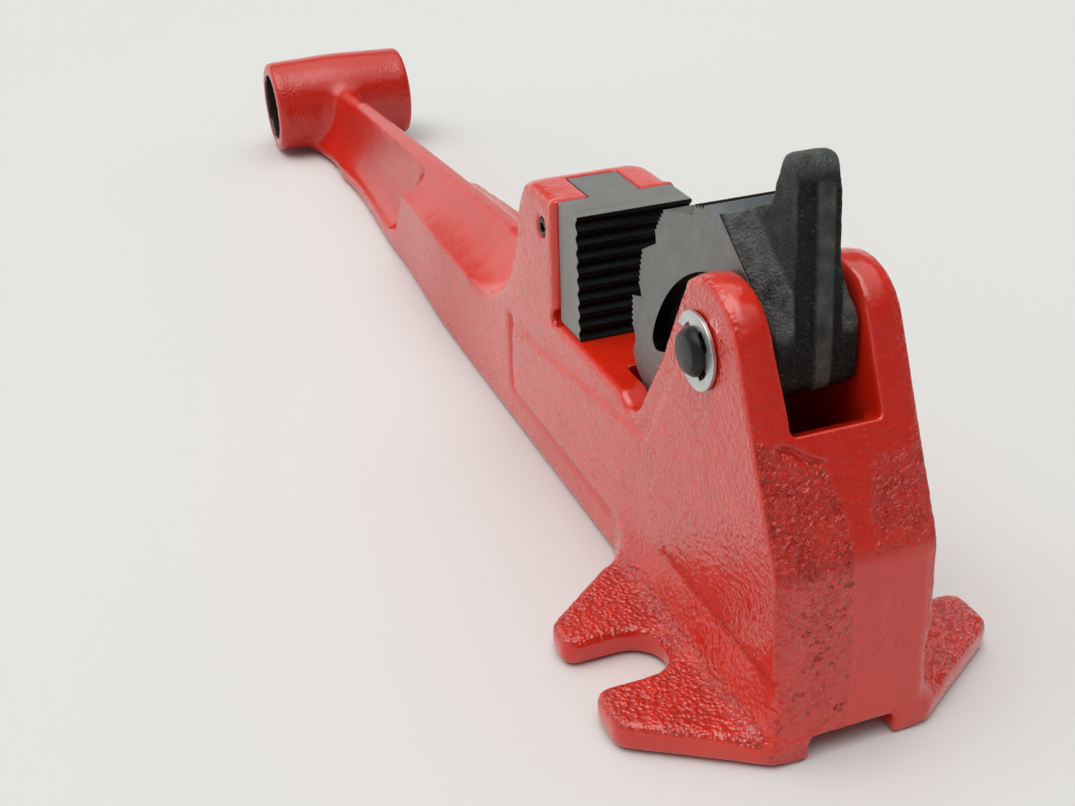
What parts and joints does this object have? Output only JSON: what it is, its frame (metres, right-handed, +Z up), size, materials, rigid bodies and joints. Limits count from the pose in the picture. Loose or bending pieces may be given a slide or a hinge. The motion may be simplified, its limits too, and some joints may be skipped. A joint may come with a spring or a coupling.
{
  "type": "pipe vise",
  "caption": "Cast iron pipe vise with a toothed cam lever against a fixed jaw, slotted mounting lugs and a long arm that ends in a cross boss for a leg pipe.",
  "frame": {"origin": "centre of the part's box in X and Y, on the surface that it stands on", "axes": "+X along the part from the cross boss to the near face, +Y along the gripped pipe, +Z up"},
  "size_m": [0.4592, 0.0886, 0.1154],
  "materials": {
    "body_paint": "glossy red enamel over a pebbly sand casting",
    "jaw_steel": "ground grey sides and top, black oxide teeth",
    "roll_pin_steel": "black oxide",
    "pin_steel": "black oxide",
    "ring_zinc": "bright zinc plate",
    "cam_iron": "rough black cast lever, ground grey sides at the toothed edge"
  },
  "bodies": {
    "vise_body": {"body_casting": "body_paint", "fixed_jaw": "jaw_steel", "jaw_roll_pin": "roll_pin_steel", "pivot_pin": "pin_steel", "retaining_ring_front": "ring_zinc", "retaining_ring_rear": "ring_zinc"},
    "cam": {"cam_lever": "cam_iron"}
  },
  "joints": [
    {"name": "cam_swing", "type": "hinge", "parent": "vise_body", "child": "cam", "pos_m": [0.19325, 0, 0.0758], "axis": [0, -1, 0], "range_deg": [-75, 65]}
  ]
}
